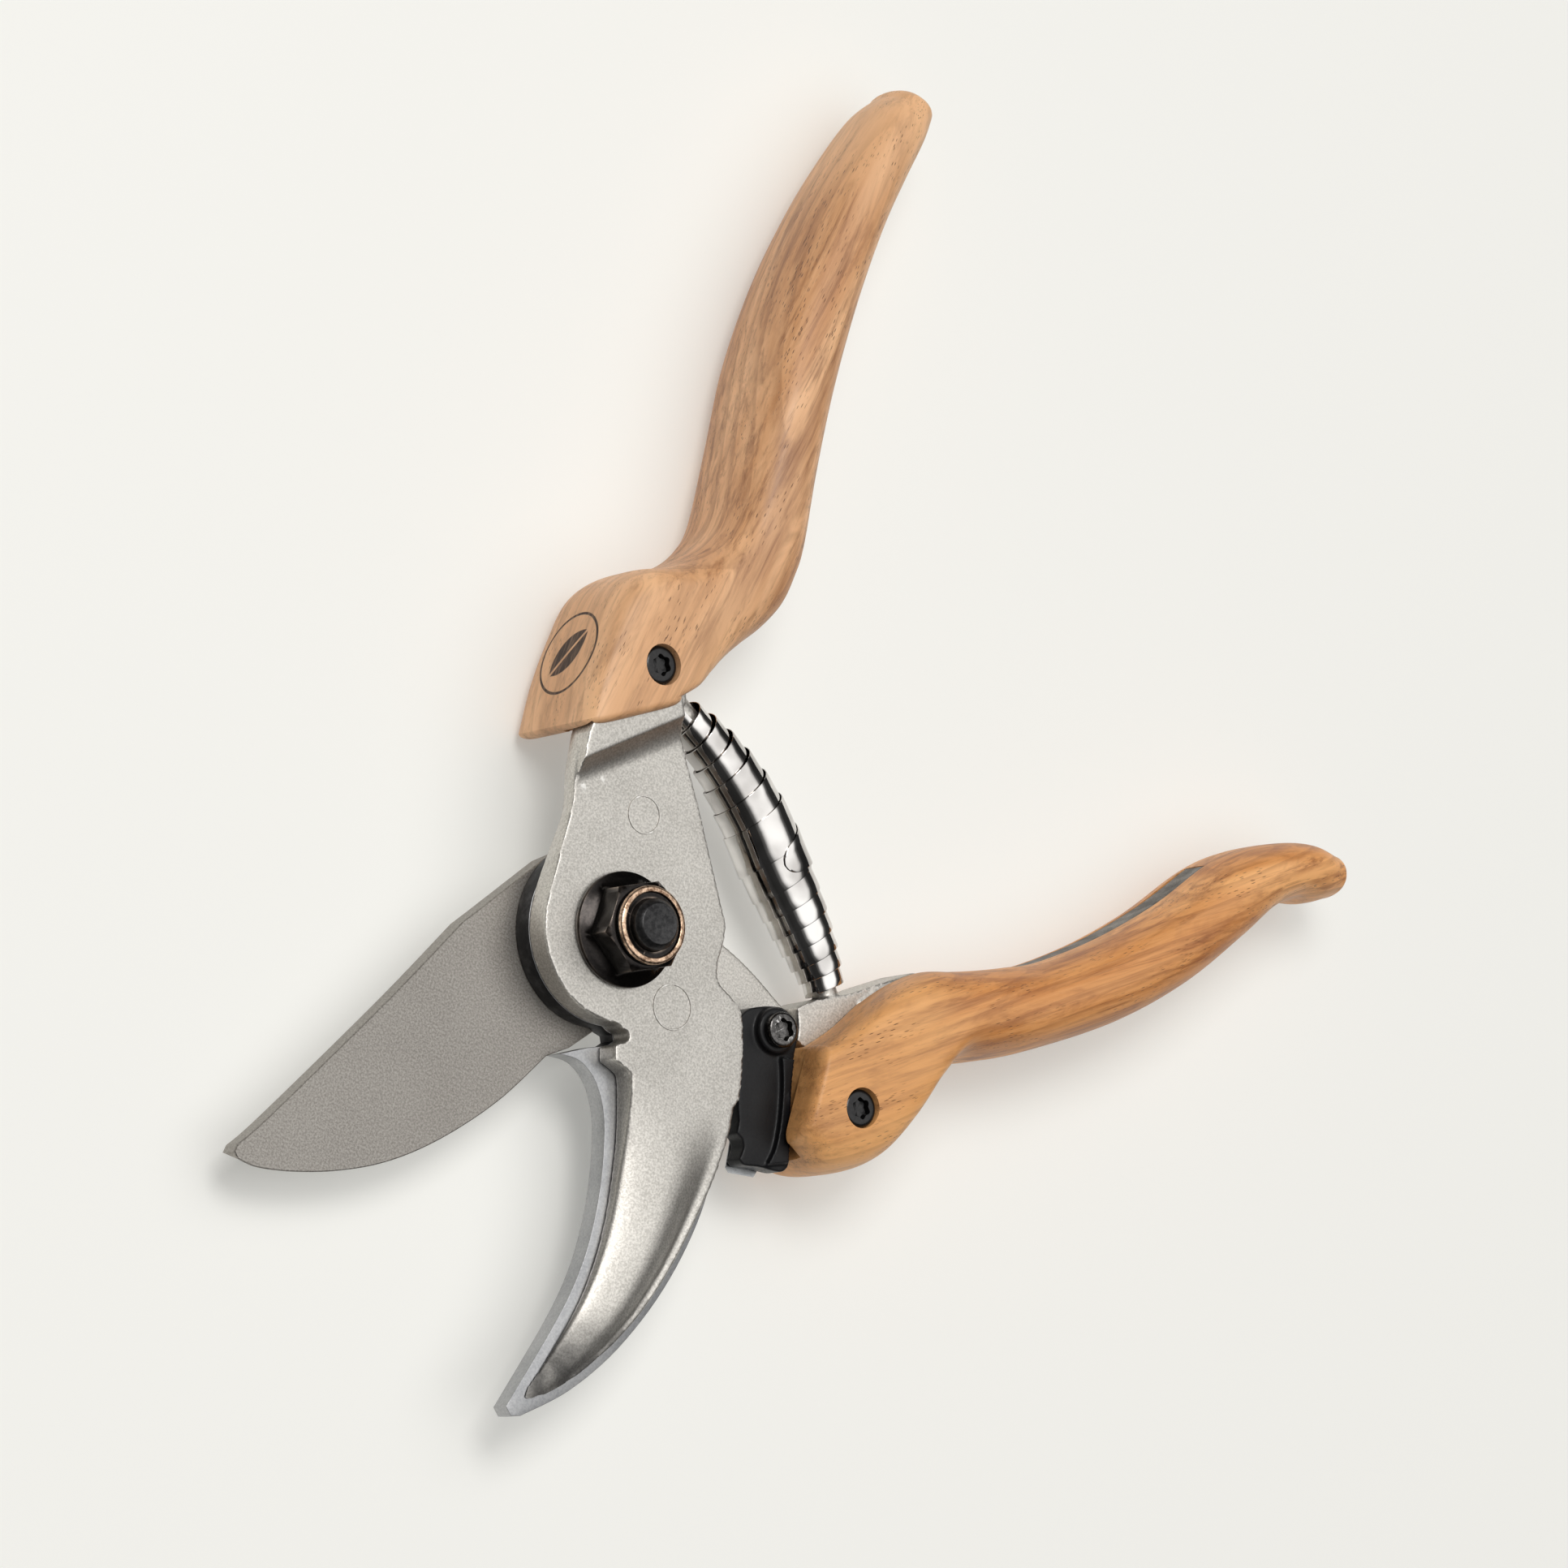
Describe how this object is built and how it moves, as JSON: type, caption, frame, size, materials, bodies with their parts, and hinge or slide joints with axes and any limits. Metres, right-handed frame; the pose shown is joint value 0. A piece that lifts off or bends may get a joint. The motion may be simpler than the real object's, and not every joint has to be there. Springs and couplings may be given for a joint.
{
  "type": "bypass pruning shears",
  "caption": "Hand pruning shears with a curved bypass blade, hooked counter blade, double-cone return spring, swing latch and turned wooden grips, jaws open.",
  "frame": {"origin": "on the pivot axis, at the flat outer face of the pivot bolt's head, which lies in the resting plane", "axes": "+Z along the pivot axis towards the nut, +Y from the hook's tip towards the end of the fixed grip, +X towards the moving grip"},
  "size_m": [0.1838, 0.2281, 0.0277],
  "materials": {
    "aluminium": "blasted satin",
    "counter_steel": "satin, ground side walls",
    "blade_steel": "fine blasted, warm grey",
    "pale_wood": "oiled, open pored",
    "warm_wood": "oiled, open pored",
    "black_steel": "black oxide, worn to bronze on the rims",
    "zinc_steel": "zinc plated",
    "bronze": "machined",
    "spring_steel": "polished strip",
    "black_plastic": "satin moulded"
  },
  "bodies": {
    "counter_side": {"counter_body": "aluminium", "counter_blade": "counter_steel", "counter_dowel_1": "zinc_steel", "counter_dowel_2": "zinc_steel", "upper_grip": "pale_wood", "upper_grip_screw": "black_steel", "upper_grip_nut": "black_steel", "pivot_bolt": "black_steel", "pivot_washer": "zinc_steel", "flange_nut": "black_steel", "spring_upper_strip": "spring_steel", "spring_lower_strip": "spring_steel"},
    "blade_side": {"blade_body": "aluminium", "cutting_blade": "blade_steel", "blade_screw_1": "black_steel", "blade_screw_2": "black_steel", "pivot_bush": "bronze", "lower_grip": "warm_wood", "lower_grip_screw": "black_steel", "lower_grip_nut": "black_steel", "latch_screw": "black_steel", "latch_sleeve": "zinc_steel", "latch_leaf": "zinc_steel"},
    "latch": {"latch_lever": "black_plastic"}
  },
  "joints": [
    {"name": "blade_pivot", "type": "hinge", "parent": "counter_side", "child": "blade_side", "pos_m": [0, 0, 0.0085], "axis": [0, 0, 1], "range_deg": [0, 48], "stiffness_Nm_per_rad": 0.6, "springref_deg": -17.19, "deforming": ["spring_upper_strip", "spring_lower_strip"]},
    {"name": "latch_swing", "type": "hinge", "parent": "blade_side", "child": "latch", "pos_m": [0.0338, -0.0021, 0.012], "axis": [0, 0, 1], "range_deg": [-5, 0]}
  ]
}
